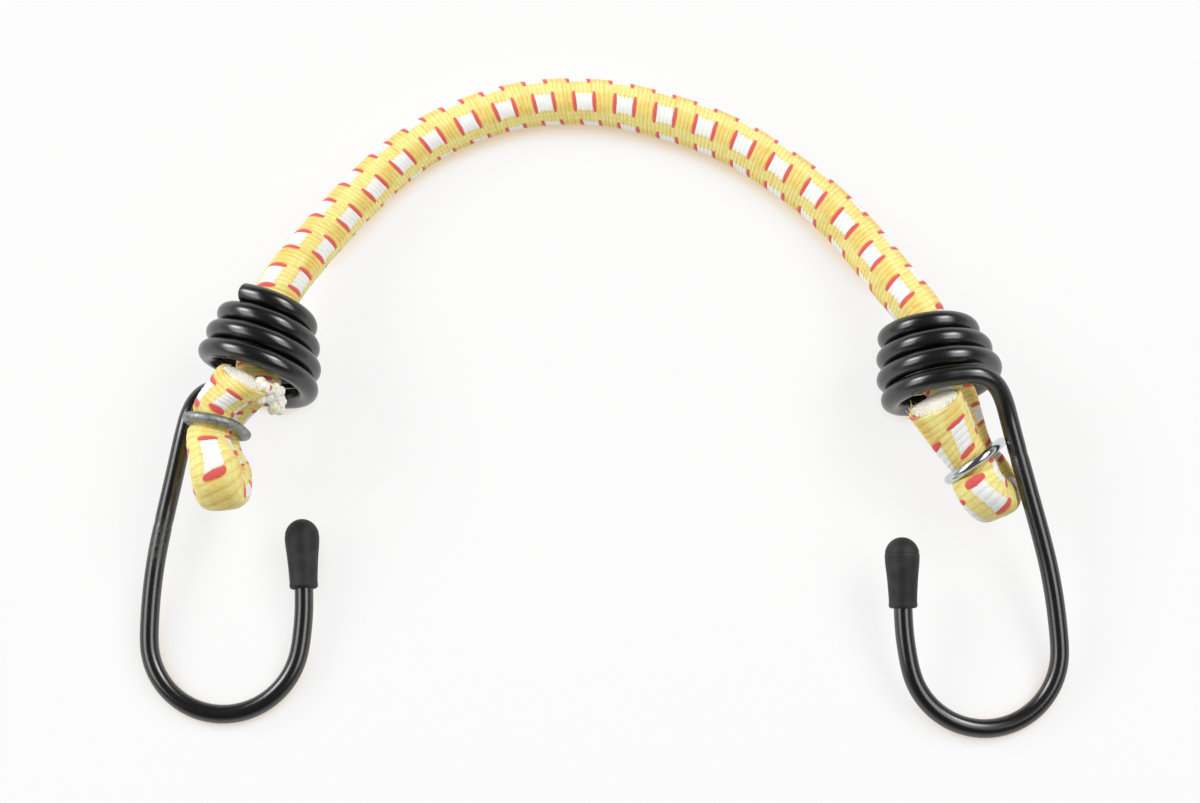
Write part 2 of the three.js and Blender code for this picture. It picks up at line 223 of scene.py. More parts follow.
def shade(code):
    """The linear colour of a six-digit screen colour."""
    parts = [int(code[i:i + 2], 16) / 255 for i in (0, 2, 4)]
    return tuple(c / 12.92 if c <= 0.04045 else ((c + 0.055) / 1.055) ** 2.4 for c in parts)


def length_property(name, description, default):
    return bpy.props.FloatProperty(
        name=name, description=description, default=default, min=0.0, precision=5, unit="LENGTH")


def number_property(name, description, default, **more):
    return bpy.props.FloatProperty(name=name, description=description, default=default, **more)


def angle_property(name, description, degrees):
    return number_property(name, description, math.radians(degrees), subtype="ANGLE")


def count_property(name, description, default, least):
    return bpy.props.IntProperty(name=name, description=description, default=default, min=least)


def colour_property(name, description, code):
    return bpy.props.FloatVectorProperty(
        name=name, description=description, default=shade(code), min=0.0, max=1.0, subtype="COLOR")


class CordSizes(bpy.types.PropertyGroup):
    """Sizes of the elastic cord and its braid."""
    diameter: length_property("Diameter", "Across the round cord", 0.008)
    core: length_property("Core diameter", "Across the rubber inside the sheath", 0.0066)
    columns: count_property("Columns", "Rows of tracer windows round the cord", 5, 2)
    threads: count_property("Threads", "Yarns laid side by side in one repeat", 10, 4)
    step: number_property("Column step", "Shift of the next column, in repeats", 0.2)
    lean: number_property("Yarn lean", "Lean of a yarn across its column, in repeats", 0.10)
    spread: number_property("Column spread", "How far the columns are drawn apart above", 0.115)
    swell: length_property("Column swell", "How far a column stands proud", 0.00009)
    relief: length_property("Yarn relief", "How far a yarn stands proud", 0.00008)
    rubber: length_property("Rubber thread", "Across one thread of the core", 0.00058)
    fibre: length_property("Fibre", "Across one frayed fibre", 0.00009)


class FoldSizes(bpy.types.PropertyGroup):
    """Sizes of the folded ends."""
    pinched_thickness: length_property("Pinched thickness", "One leg under the ring", 0.0050)
    pinch_length: length_property("Pinch length", "From the ring to the swelling", 0.0022)
    swell_width: length_property("Swell width", "Beside the ring", 0.0072)
    swell_thickness: length_property("Swell thickness", "Beside the ring", 0.0057)
    loop_thickness: length_property("Loop thickness", "At the fold", 0.0064)
    flared_thickness: length_property("Flared thickness", "At the cut end", 0.0064)
    leg_gap: length_property("Leg gap", "Between the two legs", 0.0005)
    cut_depth: length_property("Cut depth", "How deep the cut sleeve is open", 0.0014)
    squareness: number_property("Squareness", "How boxy the section is at the cut", 0.36, min=0.0)


class HookSizes(bpy.types.PropertyGroup):
    """Sizes of the wire hooks."""
    wire: length_property("Wire diameter", "Coated wire", 0.0031)
    coil_coat: number_property("Coil coat", "How much thicker the coat is in the coil", 0.09, min=0.0)
    coil_gap: length_property("Coil gap", "Between one turn and the next", 0.00044)
    trim: length_property("Trim", "Cut off the coil's free end", 0.0007)
    mouth_radius: length_property("Mouth radius", "Widest turn, to the wire's middle", 0.0088)
    clearance: length_property("Clearance", "Between cord and coil", 0.0003)
    shank: length_property("Shank", "Straight part", 0.0167)
    sweep_radius: length_property("Sweep radius", "Shank's slow curve", 0.085)
    bend_radius: length_property("Bend radius", "U bend, to the wire's middle", 0.0125)
    arm_radius: length_property("Arm radius", "Arm's slow curve", 0.047)
    arm: length_property("Arm", "Straight part", 0.0093)
    turns: number_property("Turns", "Turns of the coil", 3.69)
    corner: angle_property("Corner", "Part of the last turn that bends into the shank", 54)
    sweep_angle: angle_property("Sweep angle", "Of the shank", 12.4)
    bend_angle: angle_property("Bend angle", "Of the U bend", 170)
    arm_angle: angle_property("Arm angle", "Of the arm", 12)


class SmallPartSizes(bpy.types.PropertyGroup):
    """Sizes of the crimp rings and tip caps."""
    ring_wire: length_property("Ring wire", "Diameter", 0.0017)
    ring_clearance: length_property("Ring clearance", "From the cord", 0.00040)
    ring_opening: angle_property("Ring opening", "Left open under the fold", 50)
    cap_length: length_property("Cap length", "Along the wire", 0.0116)
    cap_diameter: length_property("Cap diameter", "At the widest", 0.0057)
    cap_mouth: length_property("Cap mouth", "Diameter of the rim", 0.0047)
    cap_lip: length_property("Cap lip", "Roundness of the rim", 0.0005)
    cap_wall: length_property("Cap wall", "Beyond the wire's end", 0.0023)
    cap_clearance: length_property("Cap clearance", "Round the wire", 0.00012)


class FinishColours(bpy.types.PropertyGroup):
    """Colours of the finishes."""
    yellow: colour_property("Yellow yarn", "Main colour of the braid", "FCF6A2")
    # The deep yellow is the yarn's golden tone, and it is also the painted shade between the yarns
    amber: colour_property("Deep yellow", "Between the yarns", "E8B644")
    white: colour_property("White yarn", "Tracer", "FAFAF5")
    red: colour_property("Red yarn", "Tracer", "E8625F")
    rubber: colour_property("Rubber", "Cut core", "FAF7EA")
    coat: colour_property("Wire coat", "Hooks", "080908")
    cap: colour_property("Cap rubber", "Tip caps", "1C1D1C")
    zinc: colour_property("Dull zinc", "Left crimp ring", "A3A8A5")
    chrome: colour_property("Bright steel", "Right crimp ring", "D2D4D5")


class StageSettings(bpy.types.PropertyGroup):
    """Floor, lamps and camera."""
    floor: colour_property("Floor", "Table top", "FBFBFA")
    glow: number_property("Backdrop", "Share of plain white that the camera sees in the table", 0.85,
                          min=0.0, max=1.0)
    lamp: number_property("Lamp power", "Each strip lamp", 3.6, unit="POWER")
    fill: number_property("Fill", "Brightness of the room's low walls", 0.45)
    lens: number_property("Lens", "Focal length", 78.0, unit="CAMERA")
    sensor: number_property("Sensor", "Width in mm", 36.0)
    distance: length_property("Camera distance", "From the aim", 0.4422)
    elevation: angle_property("Elevation", "Camera above the table", 73)


class BungeeSettings(bpy.types.PropertyGroup):
    """All sizes and colours."""
    cord: bpy.props.PointerProperty(type=CordSizes)
    fold: bpy.props.PointerProperty(type=FoldSizes)
    hook: bpy.props.PointerProperty(type=HookSizes)
    small: bpy.props.PointerProperty(type=SmallPartSizes)
    finish: bpy.props.PointerProperty(type=FinishColours)
    stage: bpy.props.PointerProperty(type=StageSettings)


def settings():
    return bpy.context.scene.bungee


# Node trees

class Value:
    """An output socket of a node tree. Sums and products of values add Math nodes."""

    def __init__(self, graph, socket):
        self.graph = graph
        self.socket = socket

    def of(self, name):
        """Another output of the same node."""
        return Value(self.graph, self.socket.node.outputs[name])

    def math(self, operation, *others):
        return self.graph.node("ShaderNodeMath", {"operation": operation}, dict(enumerate((self, *others))))

    def __add__(self, other):
        return self.math("ADD", other)

    def __sub__(self, other):
        return self.math("SUBTRACT", other)

    def __rsub__(self, other):
        return self.graph.node("ShaderNodeMath", {"operation": "SUBTRACT"}, {0: other, 1: self})

    def __mul__(self, other):
        return self.math("MULTIPLY", other)

    def __truediv__(self, other):
        return self.math("DIVIDE", other)

    def __pow__(self, other):
        return self.math("POWER", other)

    def __abs__(self):
        return self.math("ABSOLUTE")

    def __round__(self, _digits=None):
        return self.math("ROUND")

    __radd__ = __add__

    def least(self, other):
        return self.math("MINIMUM", other)

    def most(self, other):
        return self.math("MAXIMUM", other)

    def ease(self, low, high):
        """0 below low and 1 above high, smooth between them. The ends may be swapped."""
        return self.graph.node(
            "ShaderNodeMapRange", {"interpolation_type": "SMOOTHSTEP"},
            {"Value": self, "From Min": low, "From Max": high})


class Graph:
    """Adds nodes to a tree."""

    def __init__(self, tree):
        self.tree = tree

    def node(self, kind, choices=None, links=None, out=0):
        """A node of a kind with its settings and the values or links of its sockets."""
        made = self.tree.nodes.new(kind)
        for key, value in (choices or {}).items():
            setattr(made, key, value)
        for key, value in (links or {}).items():
            if isinstance(value, Value):
                self.tree.links.new(value.socket, made.inputs[key])
            else:
                made.inputs[key].default_value = value
        return Value(self, made.outputs[out]) if len(made.outputs) else made

    def blend(self, share, first, second):
        """A colour between two others."""
        def rgba(colour):
            return colour if isinstance(colour, Value) else (*colour[:3], 1.0)
        return self.node("ShaderNodeMix", {"data_type": "RGBA"},
                         {0: share, 6: rgba(first), 7: rgba(second)}, out=2)

    def place(self):
        """Where a point lies on its own object."""
        return self.node("ShaderNodeTexCoord", None, None, out="Object")

    def attribute(self, name):
        """A number kept on the mesh's points."""
        return self.node("ShaderNodeAttribute", {"attribute_name": name}, None, out="Fac")

    def noise(self, where, scale, detail=2.0, rough=0.5):
        return self.node("ShaderNodeTexNoise", None,
                         {"Vector": where, "Scale": scale, "Detail": detail, "Roughness": rough})

    def stretch(self, where, scale):
        """A place multiplied part by part."""
        return self.node("ShaderNodeVectorMath", {"operation": "MULTIPLY"}, {0: where, 1: scale})

    def bump(self, height, distance, strength=1.0):
        return self.node("ShaderNodeBump", None,
                         {"Height": height, "Distance": distance, "Strength": strength})


def new_finish(name, constants):
    """A material with one principled shader, its graph and a way to link values to it."""
    material = bpy.data.materials.new(name)
    material.use_nodes = True
    material.node_tree.nodes.clear()
    graph = Graph(material.node_tree)
    shader = graph.node("ShaderNodeBsdfPrincipled", None, constants)
    graph.node("ShaderNodeOutputMaterial", {"name": "output"}, {"Surface": shader})
    inputs = shader.socket.node.inputs

    def link(**values):
        for key, value in values.items():
            graph.tree.links.new(value.socket, inputs[key.replace("_", " ").title()])

    return material, graph, link


def braid_finish():
    """Yellow yarn with windows of white yarn between two red ones, read from the braid's own map, with shade
    painted into the grooves between the yarns.
    """
    cord, colours = settings().cord, settings().finish
    material, graph, link = new_finish("braided_yarn", {
        "Sheen Weight": 0.45, "Sheen Roughness": 0.35, "Specular IOR Level": 0.3})
    place = graph.node("ShaderNodeUVMap", {"uv_map": "braid"})
    parts = graph.node("ShaderNodeSeparateXYZ", None, {0: place})
    along, column = parts, parts.of("Y")
    middle = round(column)
    off = column - middle
    wobble = graph.noise(graph.stretch(place, (3.1, 2.3, 1.0)), 1.0) - 0.5
    run = along - middle * cord.step - off * cord.lean + wobble * 0.03
    repeat = run - round(run)
    yarn = (run * cord.threads).math("FRACT") - 0.5
    groove = (0.5 - abs(yarn)).ease(*GROOVE) * (0.5 - abs(off)).ease(*COLUMN_EDGE)
    # Painted shade: between marks the grooves between yarns, where the colours below are darkened as if in
    # shade
    between = 1.0 - groove
    bar_half = (1.0 - (off / BAR_REACH) ** 2.0).most(0.0) ** BAR_ROUNDING * BAR_HALF
    bar_off = abs(abs(repeat) - BAR_PLACE)
    red = bar_off.ease(bar_half + BAR_EDGE, bar_half - BAR_EDGE) * abs(off).ease(*BAR_END)
    window = (abs(off) + yarn * 0.07 + wobble * 0.08).ease(*WINDOW_SIDE)
    white = window * abs(repeat).ease(*WINDOW_END)
    streaks = graph.noise(graph.stretch(place, (cord.threads * 7.0, 6.0, 1.0)), 1.0, 3.0, 0.6)
    strands = graph.noise(graph.stretch(place, (cord.threads * 1.0, 1.4, 1.0)), 1.0, 1.0)
    patches = graph.noise(graph.stretch(place, (0.9, 1.3, 1.0)), 1.0)
    dark = streaks.ease(0.62, 0.3)
    # The yellow is deeper in dark streaks, patches and strands, along the column's middle, and with painted
    # shade between yarns
    depth = (between * 0.32 + dark * 0.25 + patches.ease(0.45, 0.75) * 0.2
             + strands.ease(0.45, 0.75) * 0.25 + abs(off).ease(*GOLDEN_SIDE) * 0.32)
    yellow = graph.blend(depth, colours.yellow, colours.amber)
    # The white yarn greys with painted shade between the yarns
    pale = graph.blend(between * 0.2, colours.white, shade("E2DCC4"))
    # The red deepens in dark streaks and with painted shade between the yarns
    red_streaked_and_groove_shaded = graph.blend(between * 0.3 + dark * 0.3, colours.red, shade("B8383A"))
    colour = graph.blend(red, graph.blend(white, yellow, pale), red_streaked_and_groove_shaded)
    height = streaks * 0.6 + groove * 0.6
    link(base_color=colour, roughness=0.55 + streaks * 0.25, normal=graph.bump(height, 0.00008, 0.7))
    return material


def tuft_finish():
    """Crumpled yarn ends: white, with yellow and red bits."""
    colours = settings().finish
    material, graph, link = new_finish("crumpled_yarn", {"Sheen Weight": 0.3, "Sheen Roughness": 0.5})
    place = graph.place()
    fuzz = graph.noise(place, 4200.0, 3.0, 0.65)
    yellow = graph.noise(place, 520.0, 2.0).ease(0.56, 0.66)
    red = graph.noise(graph.stretch(place, (900.0, 520.0, 520.0)), 1.0, 1.0).ease(0.64, 0.69)
    pale = graph.blend(fuzz.ease(0.3, 0.75) * 0.45, colours.white, shade("E6DDBE"))
    colour = graph.blend(red, graph.blend(yellow * 0.8, pale, colours.yellow), colours.red)
    link(base_color=colour, roughness=0.7 + fuzz * 0.2, normal=graph.bump(fuzz, 0.00012, 0.9))
    return material


def fray_finish():
    """Loose fibres of the braid. Their tint is 0 for yellow, 1 for white and 2 for red."""
    colours = settings().finish
    material, graph, link = new_finish("frayed_fibre", {"Sheen Weight": 0.3})
    tint = graph.attribute("tint")
    grain = graph.noise(graph.place(), 3000.0)
    pale = graph.blend(tint.least(1.0), graph.blend(grain, colours.yellow, colours.amber), colours.white)
    link(base_color=graph.blend((tint - 1.0).most(0.0), pale, colours.red), roughness=0.5 + grain * 0.3)
    return material


def coat_finish():
    """Glossy black dip coat, a little uneven, with a few dull specks and a scuff where wear says so."""
    colours = settings().finish
    material, graph, link = new_finish("black_coat", {"Specular IOR Level": 1.0})
    place = graph.place()
    skin = graph.noise(place, 260.0, 2.0)
    specks = graph.noise(place, 2600.0, 1.0).ease(0.74, 0.80)
    wear = graph.attribute("wear")
    rubbed = wear * graph.noise(place, 1500.0, 3.0, 0.6).ease(0.3, 0.6)
    dull = specks * 0.35 + rubbed
    link(base_color=graph.blend(dull * 0.5, colours.coat, shade("3A3A36")),
         roughness=0.22 + skin * 0.05 + dull * 0.2,
         normal=graph.bump(skin, 0.00006, 0.1))
    return material


def cap_finish():
    """Matt charcoal moulded rubber."""
    colours = settings().finish
    material, graph, link = new_finish("cap_rubber", {"Specular IOR Level": 0.4})
    place = graph.place()
    grain = graph.noise(place, 3000.0, 3.0, 0.6)
    bloom = graph.noise(place, 420.0, 3.0)
    link(base_color=graph.blend(bloom.ease(0.35, 0.75) * 0.6, colours.cap, shade("3B3C3C")),
         roughness=0.52 + bloom * 0.18, normal=graph.bump(grain, 0.00003, 0.5))
    return material


def ring_finish(name, colour, rough, mottle):
    """Steel wire: mottled zinc or bright, with drawn marks."""
    material, graph, link = new_finish(name, {"Metallic": 1.0})
    place = graph.place()
    spangle = graph.noise(place, 1400.0, 3.0, 0.65)
    marks = graph.noise(graph.stretch(place, (900.0, 5200.0, 900.0)), 1.0, 2.0)
    darker = tuple(c * 0.55 for c in colour)
    link(base_color=graph.blend(spangle.ease(0.35, 0.7) * mottle, colour, darker),
         roughness=rough + spangle * 0.18 * mottle + marks * 0.06,
         normal=graph.bump(spangle * mottle + marks * 0.4, 0.00003, 0.5))
    return material


def rubber_finish():
    """Cream latex, a little translucent."""
    colours = settings().finish
    material, graph, link = new_finish("cream_rubber", {
        "Subsurface Weight": 0.15, "Subsurface Radius": (0.0006, 0.0005, 0.0003), "Subsurface Scale": 1.0})
    place = graph.place()
    stain = graph.noise(place, 700.0, 3.0)
    grain = graph.noise(place, 5000.0, 2.0)
    link(base_color=graph.blend(stain.ease(0.5, 0.8) * 0.6, colours.rubber, shade("E2CFA0")),
         roughness=0.55 + grain * 0.25, normal=graph.bump(grain, 0.00003, 0.5))
    return material


# Paths

def unit(v):
    return v / np.linalg.norm(v, axis=-1, keepdims=True)


def smooth_rows(rows, per_span):
    """Rows on the smooth curve through the given ones. The first three numbers are the place."""
    rows = np.asarray(rows, float)
    p = np.vstack([2 * rows[:1] - rows[1:2], rows, 2 * rows[-1:] - rows[-2:-1]])
    knots = np.sqrt(np.linalg.norm(np.diff(p[:, :3], axis=0), axis=1))
    t = np.arange(per_span)[:, None] / per_span
    spans = []
    for i in range(len(rows) - 1):
        p0, p1, p2, p3 = p[i:i + 4]
        d0, d1, d2 = knots[i:i + 3]
        m1 = d1 * ((p1 - p0) / d0 - (p2 - p0) / (d0 + d1) + (p2 - p1) / d1)
        m2 = d1 * ((p2 - p1) / d1 - (p3 - p1) / (d1 + d2) + (p3 - p2) / d2)
        spans.append(p1 + m1 * t + (3 * (p2 - p1) - 2 * m1 - m2) * t ** 2
                     + (2 * (p1 - p2) + m1 + m2) * t ** 3)
    return np.vstack([*spans, rows[-1:]])


def run_length(points):
    """How far along the line each point lies."""
    return np.concatenate([[0.0], np.cumsum(np.linalg.norm(np.diff(points[:, :3], axis=0), axis=1))])


def even_rows(rows, count):
    """The same line with evenly spaced rows."""
    far = run_length(rows)
    at = np.linspace(0.0, far[-1], count)
    return np.stack([np.interp(at, far, column) for column in rows.T], axis=1)


def softened(values, width):
    """A running mean over an odd number of values."""
    return np.convolve(np.pad(values, width // 2, mode="edge"), np.ones(width) / width, "valid")


def coil_pitch():
    return settings().hook.wire + settings().hook.coil_gap


def coil_length():
    return coil_pitch() * settings().hook.turns


def end_frame(end):
    """Middle of the coil's mouth, its axis out of the mouth, right and up."""
    hook = settings().hook
    yaw, tilt = math.radians(end["yaw"]), math.radians(end["tilt"])
    straight = np.array((math.sin(yaw) * math.cos(tilt), -math.cos(yaw) * math.cos(tilt), math.sin(tilt)))
    right = np.array((math.cos(yaw), math.sin(yaw), 0.0))
    level = hook.mouth_radius + hook.wire / 2 + coil_pitch() * math.sin(tilt)
    return dict(mouth=np.array((*end["mouth"], level)) + ORIGIN, axis=unit(straight + end["lean"] * right),
                right=right, up=unit(np.cross(straight, right)))


def place(way, along, side, up):
    return way["mouth"] + along * way["axis"] + side * way["right"] + up * way["up"]


def coil_points(end):
    """The coil from its free end to the mouth, a left-handed helix."""
    hook = settings().hook
    way = end_frame(end)
    narrow = settings().cord.diameter / 2 + hook.clearance + hook.wire / 2
    start = math.radians(end["exit"]) + hook.corner
    turns = np.linspace(hook.turns, 0.0, round(hook.turns * COIL_STEPS) + 1)
    widening = np.interp(turns, range(len(COIL_TAPER)), COIL_TAPER)
    radius = narrow + (hook.mouth_radius - narrow) * widening
    return np.array([place(way, -coil_pitch() * t, r * math.cos(start + math.tau * t),
                           r * math.sin(start + math.tau * t)) for t, r in zip(turns, radius)])


def hook_points(end):
    """Shank, sweep, bend and arm as arcs in one plane, laid from the shank's start to the table."""
    hook = settings().hook
    outline = [np.array((0.0, 0.0)), np.array((hook.shank / 2, 0.0)), np.array((hook.shank, 0.0))]
    turn = 0.0
    for radius, angle, steps in ((hook.sweep_radius, hook.sweep_angle, 4),
                                 (hook.bend_radius, hook.bend_angle, 16),
                                 (hook.arm_radius, hook.arm_angle, 3)):
        middle = outline[-1] + radius * np.array((-math.sin(turn), math.cos(turn)))
        for i in range(1, steps + 1):
            a = turn + angle * i / steps
            outline.append(middle + radius * np.array((math.sin(a), -math.cos(a))))
        turn += angle
    ahead = np.array((math.cos(turn), math.sin(turn)))
    outline += [outline[-1] + ahead * hook.arm / 2, outline[-1] + ahead * hook.arm]
    outline = np.array(outline)
    start = np.array(end["shank"])
    slope = math.asin((start[2] - hook.wire / 2) / outline[:, 0].max())
    heading = math.radians(end["heading"])
    level = math.cos(slope)
    down = np.array((math.sin(heading) * level, -math.cos(heading) * level, -math.sin(slope)))
    across = end["side"] * np.array((math.cos(heading), math.sin(heading), 0.0))
    return start + ORIGIN + outline[:, :1] * down + outline[:, 1:] * across


def hook_line(end):
    """The whole wire's middle line, from the coil's free end to the tip."""
    coil, hook = coil_points(end), hook_points(end)
    far = run_length(coil)
    held = np.argmax(far >= end["straight"])
    coil[:held] = coil[held] + (far[:held, None] - far[held]) * unit(coil[held + 1] - coil[held - 1])
    first, last = coil[-1], hook[0]
    pull = 0.5 * np.linalg.norm(last - first)
    controls = (first, first + pull * unit(first - coil[-2]), last - pull * unit(hook[1] - last), last)
    t = np.linspace(0, 1, CORNER_POINTS + 2)[1:-1, None]
    shares = ((1 - t) ** 3, 3 * t * (1 - t) ** 2, 3 * t ** 2 * (1 - t), t ** 3)
    corner = sum(s * c for s, c in zip(shares, controls))
    return smooth_rows(np.vstack([coil, corner, hook]), WIRE_STEPS)


def fold_ways(end, way, turn, lean=0):
    """The ways of a fold turned off the axis: along it, from leg to leg, and square to both.

    A lean tips the upper leg's side out along the fold.
    """
    turn, stacked, lean = math.radians(turn), math.radians(end["stack"]), math.radians(lean)
    along = math.cos(turn) * way["axis"] + math.sin(turn) * way["right"]
    right = unit(np.cross(way["up"], along))
    stack = math.cos(stacked) * right + math.sin(stacked) * way["up"]
    across = math.sin(stacked) * right - math.cos(stacked) * way["up"]
    tipped = math.cos(lean) * along - math.sin(lean) * stack
    return tipped, math.cos(lean) * stack + math.sin(lean) * along, across


def fold_rows(end):
    """Sections of the folded end from inside the coil to the cut: middle, two scaled ways, squareness."""
    fold, size = settings().fold, settings().cord.diameter
    way = end_frame(end)
    ring_along, ring_stack, ring_across = fold_ways(end, way, end["ring_turn"], end["ring_lean"])
    loop_along, loop_stack, loop_across = fold_ways(end, way, end["loop_turn"])
    mouth_along, _, mouth_across = fold_ways(end, way, 0)
    top_along, _, top_across = fold_ways(end, way, end["cut_turn"])
    pinch = (fold.pinched_thickness + fold.leg_gap) / 2
    bend = (fold.loop_thickness + fold.leg_gap) / 2
    spread = (fold.swell_thickness + fold.leg_gap) / 2
    reach = min(fold.pinch_length, 0.5 * (end["loop"][0] - end["ring"][0]))

    def inside(s, aside=0.0):
        return place(way, s, aside, 0), size, size, mouth_across, mouth_along

    def held(s, offset, width, thickness):
        middle = place(way, *end["ring"]) + s * ring_along + offset * ring_stack
        return middle, width, thickness, ring_across, -math.copysign(1, offset) * ring_along

    def swell(s, side):
        return held(s, side * spread, fold.swell_width, fold.swell_thickness)

    def squeezed(side):
        return held(0, side * pinch, end["pinched_width"], fold.pinched_thickness)

    joint = -coil_length() / 2
    stations = [inside(joint), inside(joint / 2), inside(0, end["mouth_side"]),
                swell(-fold.pinch_length, -1), squeezed(-1), swell(reach, -1)]
    for a in np.linspace(-math.pi / 2, math.pi / 2, LOOP_STATIONS):
        middle = place(way, *end["loop"]) + bend * (math.sin(a) * loop_stack + math.cos(a) * loop_along)
        stations.append((middle, end["loop_width"], fold.loop_thickness, loop_across, None))
    stations += [swell(reach, 1), squeezed(1), swell(-fold.pinch_length, 1)]
    lift = math.radians(end["cut_lift"])
    lifted = -math.cos(lift) * top_along + math.sin(lift) * way["up"]
    along, aside, higher = end["cut"]
    cut_up = (size + fold.flared_thickness) / 2 + fold.leg_gap + higher
    stations.append((place(way, along, aside, cut_up), end["flared_width"], fold.flared_thickness,
                     top_across, lifted))
    rows = []
    for i, (middle, width, thickness, across, tangent) in enumerate(stations):
        boxy = fold.squareness if i == len(stations) - 1 else 0.0
        if tangent is None:
            tangent = unit(stations[i + 1][0] - stations[i - 1][0])
            boxy = end["boxy"]
        side = unit(across - tangent * np.dot(across, tangent))
        rows.append(np.concatenate([middle, side * width / size, np.cross(tangent, side) * thickness / size,
                                    [boxy]]))
    return np.array(rows)


def fold_line(end):
    """The sections of a folded end, evenly and closely spaced."""
    rows = smooth_rows(fold_rows(end), FOLD_STEPS)
    return even_rows(rows, round(run_length(rows)[-1] / FOLD_ROW_GAP))


def way_out(rows):
    """The way out of a cut, over its last rows."""
    return unit(rows[-1, :3] - rows[-CUT_ROWS, :3])


def cut_section(end):
    """The last section of a fold: middle, two scaled ways and the way out of the cut."""
    rows = fold_line(end)
    return rows[-1, :3], rows[-1, 3:6], rows[-1, 6:9], way_out(rows)


def ring_line(end):
    """The crimp ring: a stadium round both legs, open underneath."""
    fold, small = settings().fold, settings().small
    way = end_frame(end)
    _, stack, across = fold_ways(end, way, end["ring_turn"], end["ring_lean"])
    out = small.ring_clearance + small.ring_wire / 2
    half = (fold.pinched_thickness + fold.leg_gap) / 2
    width, height = end["pinched_width"] / 2 + out, fold.pinched_thickness / 2 + out
    opening = small.ring_opening / 2
    angles = np.linspace(-math.pi / 2 + opening, 1.5 * math.pi - opening, RING_POINTS)
    middle = place(way, *end["ring"])
    points = [middle + width * math.cos(a) * across
              + (math.copysign(half, math.sin(a) + 1e-9) + height * math.sin(a)) * stack for a in angles]
    return smooth_rows(points, WIRE_STEPS)


def cord_line():
    """The free stretch's middle line, from inside the left coil to inside the right one."""
    meet = -coil_length() / 2 - settings().hook.clearance
    stops = (meet, 0.5 * (meet - coil_length()), -coil_length() - COIL_LEAD)
    left = [place(end_frame(ENDS["left"]), s, 0, 0) for s in stops]
    right = [place(end_frame(ENDS["right"]), s, 0, 0) for s in reversed(stops)]
    return smooth_rows(np.vstack([left, ROUTE + ORIGIN, right]), CORD_STEPS)


# Meshes

def make_piece(name, points, faces, material):
    """A smooth mesh object at the origin."""
    mesh = bpy.data.meshes.new(name)
    mesh.from_pydata(np.asarray(points).tolist(), [], faces)
    mesh.shade_smooth()
    mesh.materials.append(material)
    piece = bpy.data.objects.new(name, mesh)
    bpy.context.scene.collection.objects.link(piece)
    return piece


def make_lines(name, lines, **values):
    """A mesh of separate lines of points, with float values on the points."""
    edges, first = [], 0
    for line in lines:
        edges += [(first + i, first + i + 1) for i in range(len(line) - 1)]
        first += len(line)
    mesh = bpy.data.meshes.new(name)
    mesh.from_pydata(np.vstack(lines).tolist(), edges, [])
    for key, value in values.items():
        mesh.attributes.new(key, "FLOAT", "POINT").data.foreach_set("value", np.asarray(value, np.float32))
    piece = bpy.data.objects.new(name, mesh)
    bpy.context.scene.collection.objects.link(piece)
    return piece


def braid_radius(along, column):
    """The sheath's radius at each row and each point round it, with columns and yarns standing proud."""
    cord = settings().cord
    off = column - np.round(column)
    run = along - np.round(column) * cord.step - off * cord.lean
    yarn = np.abs(2 * (run * cord.threads % 1.0) - 1)
    level = cord.diameter / 2 - SINK[0] * cord.relief - SINK[1] * cord.swell
    proud = cord.relief * (0.5 - yarn ** YARN_ROUNDING) * (1 - abs(2 * off) ** COLUMN_ROUNDING)
    return level + cord.swell * np.cos(math.tau * column) + proud


def cut_open(rings, middle, ahead, depth, seed):
    """A cut sleeve's rings: the last ones ragged, then more that turn in over the rim to the inside."""
    cord, random = settings().cord, np.random.default_rng(seed)
    knots = random.uniform(-1, 1, RIM_KNOTS)
    spots = np.arange(CORD_SIDES) * RIM_KNOTS / CORD_SIDES
    jag = COARSE_JAG * np.interp(spots, np.arange(RIM_KNOTS + 1), np.append(knots, knots[0]))
    jag += FINE_JAG * random.uniform(-1, 1, CORD_SIDES)
    for i, share in enumerate(np.linspace(1, 0, RIM_RINGS)):
        rings[-1 - i] += share * jag[:, None] * ahead
    core = cord.core / cord.diameter
    spokes = rings[-1] - middle
    profile = (RIM_EDGE, ((1 + core) / 2, RIM_CROWN), (core, 0.0), (core, -0.4 * depth), (core, -depth))
    return np.concatenate([rings, [middle + share * spokes + out * ahead for share, out in profile]])


def sheath_mesh(name, rings, along, columns, material):
    """A closed tube through its rings, with its braid map."""
    total, around = rings.shape[:2]
    i, j = np.meshgrid(np.arange(total - 1), np.arange(around), indexing="ij")
    k = (j + 1) % around
    quads = np.stack([i * around + j, i * around + k, (i + 1) * around + k, (i + 1) * around + j], -1)
    points = np.vstack([rings.reshape(-1, 3), rings[0].mean(0), rings[-1].mean(0)])
    first, last, final = len(points) - 2, len(points) - 1, (total - 1) * around
    ends = [(first, (n + 1) % around, n) for n in range(around)]
    ends += [(last, final + n, final + (n + 1) % around) for n in range(around)]
    piece = make_piece(name, points, quads.reshape(-1, 4).tolist() + ends, material)
    map_along = np.stack([along[i, j], along[i, k], along[i + 1, k], along[i + 1, j]], -1).reshape(-1)
    map_round = columns[np.stack([j, j + 1, j + 1, j], -1)].reshape(-1)
    spare = [(along[0, 0], 0.0)] * (3 * around) + [(along[-1, 0], 0.0)] * (3 * around)
    places = np.vstack([np.stack([map_along, map_round], -1), spare])
    piece.data.uv_layers.new(name="braid").data.foreach_set("uv", places.astype(np.float32).ravel())
    return piece


